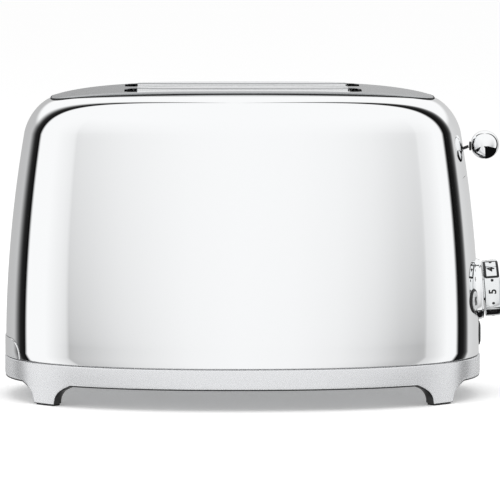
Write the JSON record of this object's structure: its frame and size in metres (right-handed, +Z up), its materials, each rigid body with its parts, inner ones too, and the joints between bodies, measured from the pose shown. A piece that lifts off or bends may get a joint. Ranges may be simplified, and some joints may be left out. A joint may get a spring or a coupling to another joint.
{
  "type": "two-slice toaster",
  "caption": "Rounded chrome toaster on flared feet, with long bread slots, a ball-ended lever, a browning dial, push buttons and a pull-out crumb tray.",
  "frame": {"origin": "on the surface it stands on, in the middle of the whole object's width and depth, dial included", "axes": "+X towards the lever end, +Y towards the rear, +Z up"},
  "size_m": [0.3178, 0.1954, 0.1975],
  "materials": {
    "chromed_steel": "polished chrome plate",
    "satin_steel": "satin stainless steel",
    "cast_aluminium": "satin cast aluminium",
    "zinc_steel": "plain zinc-plated sheet",
    "chromed_plastic": "satin chromed plastic",
    "black_plastic": "moulded black plastic",
    "pale_plastic": "moulded pale grey plastic",
    "foot_rubber": "matt dark rubber",
    "mica_sheet": "pressed mica sheet",
    "circuit_board": "green circuit board",
    "copper_winding": "lacquered copper coil",
    "amber_lens": "clear amber light pipe"
  },
  "bodies": {
    "housing": {"body_shell": "chromed_steel", "top_panel": "satin_steel", "slot_frame_front": "satin_steel", "slot_frame_rear": "satin_steel", "base_frame": "cast_aluminium", "foot_pad_rear_right": "foot_rubber", "foot_pad_rear_left": "foot_rubber", "foot_pad_front_left": "foot_rubber", "foot_pad_front_right": "foot_rubber", "bottom_cover": "zinc_steel", "cord_gland": "black_plastic", "chassis_plate_left": "zinc_steel", "chassis_plate_right": "zinc_steel", "heat_shield_front": "zinc_steel", "heat_shield_rear": "zinc_steel", "heater_board_front": "mica_sheet", "heater_board_centre": "mica_sheet", "heater_board_rear": "mica_sheet", "guide_rod_front": "satin_steel", "guide_rod_rear": "satin_steel", "latch_magnet": "copper_winding", "carriage_spring": "satin_steel", "lever_rim": "chromed_steel", "dial_bezel": "chromed_steel", "potentiometer": "black_plastic", "control_board": "circuit_board", "board_bracket_front": "zinc_steel", "board_bracket_rear": "zinc_steel", "button_collar_front": "black_plastic", "button_collar_bottom": "black_plastic", "button_collar_rear": "black_plastic", "indicator_front": "amber_lens", "indicator_bottom": "amber_lens", "indicator_rear": "amber_lens"},
    "carriage": {"carriage_bracket": "zinc_steel", "bread_rest_front": "zinc_steel", "bread_rest_rear": "zinc_steel", "latch_plate": "satin_steel", "lever_arm": "black_plastic", "lever_collar": "black_plastic", "lever_ball": "chromed_steel"},
    "guide_front_outer": {"bread_guide_front_outer": "satin_steel"},
    "guide_front_inner": {"bread_guide_front_inner": "satin_steel"},
    "guide_rear_outer": {"bread_guide_rear_outer": "satin_steel"},
    "guide_rear_inner": {"bread_guide_rear_inner": "satin_steel"},
    "dial": {"dial_knob": "chromed_plastic", "dial_shaft": "satin_steel"},
    "front_button": {"button_front": "pale_plastic"},
    "bottom_button": {"button_bottom": "pale_plastic"},
    "rear_button": {"button_rear": "pale_plastic"},
    "tray": {"crumb_tray": "zinc_steel", "tray_handle": "cast_aluminium"}
  },
  "joints": [
    {"name": "carriage_slide", "type": "slide", "parent": "housing", "child": "carriage", "axis": [0, 0, 1], "range_m": [-0.045, 0], "stiffness_N_per_m": 120, "springref_m": 0.06, "deforming": ["carriage_spring"]},
    {"name": "guide_front_outer_slide", "type": "slide", "parent": "housing", "child": "guide_front_outer", "axis": [0, 1, 0], "range_m": [0, 0.007]},
    {"name": "guide_front_inner_slide", "type": "slide", "parent": "housing", "child": "guide_front_inner", "axis": [0, -1, 0], "range_m": [0, 0.007]},
    {"name": "guide_rear_outer_slide", "type": "slide", "parent": "housing", "child": "guide_rear_outer", "axis": [0, -1, 0], "range_m": [0, 0.007]},
    {"name": "guide_rear_inner_slide", "type": "slide", "parent": "housing", "child": "guide_rear_inner", "axis": [0, 1, 0], "range_m": [0, 0.007]},
    {"name": "dial_turn", "type": "hinge", "parent": "housing", "child": "dial", "pos_m": [0.143, 0, 0.067], "axis": [0.9976, 0, 0.0698], "range_deg": [-100, 150]},
    {"name": "front_button_press", "type": "slide", "parent": "housing", "child": "front_button", "axis": [0.9517, -0.3044, 0.0411], "range_m": [-0.0015, 0], "stiffness_N_per_m": 400, "springref_m": 0.002},
    {"name": "bottom_button_press", "type": "slide", "parent": "housing", "child": "bottom_button", "axis": [1, 0, 0.0071], "range_m": [-0.0015, 0], "stiffness_N_per_m": 400, "springref_m": 0.002},
    {"name": "rear_button_press", "type": "slide", "parent": "housing", "child": "rear_button", "axis": [0.9517, 0.3044, 0.0411], "range_m": [-0.0015, 0], "stiffness_N_per_m": 400, "springref_m": 0.002},
    {"name": "tray_slide", "type": "slide", "parent": "housing", "child": "tray", "axis": [-1, 0, 0], "range_m": [0, 0.2]}
  ],
  "couplings": [
    {"joint": "guide_front_outer_slide", "follows": "carriage_slide", "ratio": -0.1555},
    {"joint": "guide_front_inner_slide", "follows": "carriage_slide", "ratio": -0.1555},
    {"joint": "guide_rear_outer_slide", "follows": "carriage_slide", "ratio": -0.1555},
    {"joint": "guide_rear_inner_slide", "follows": "carriage_slide", "ratio": -0.1555}
  ]
}
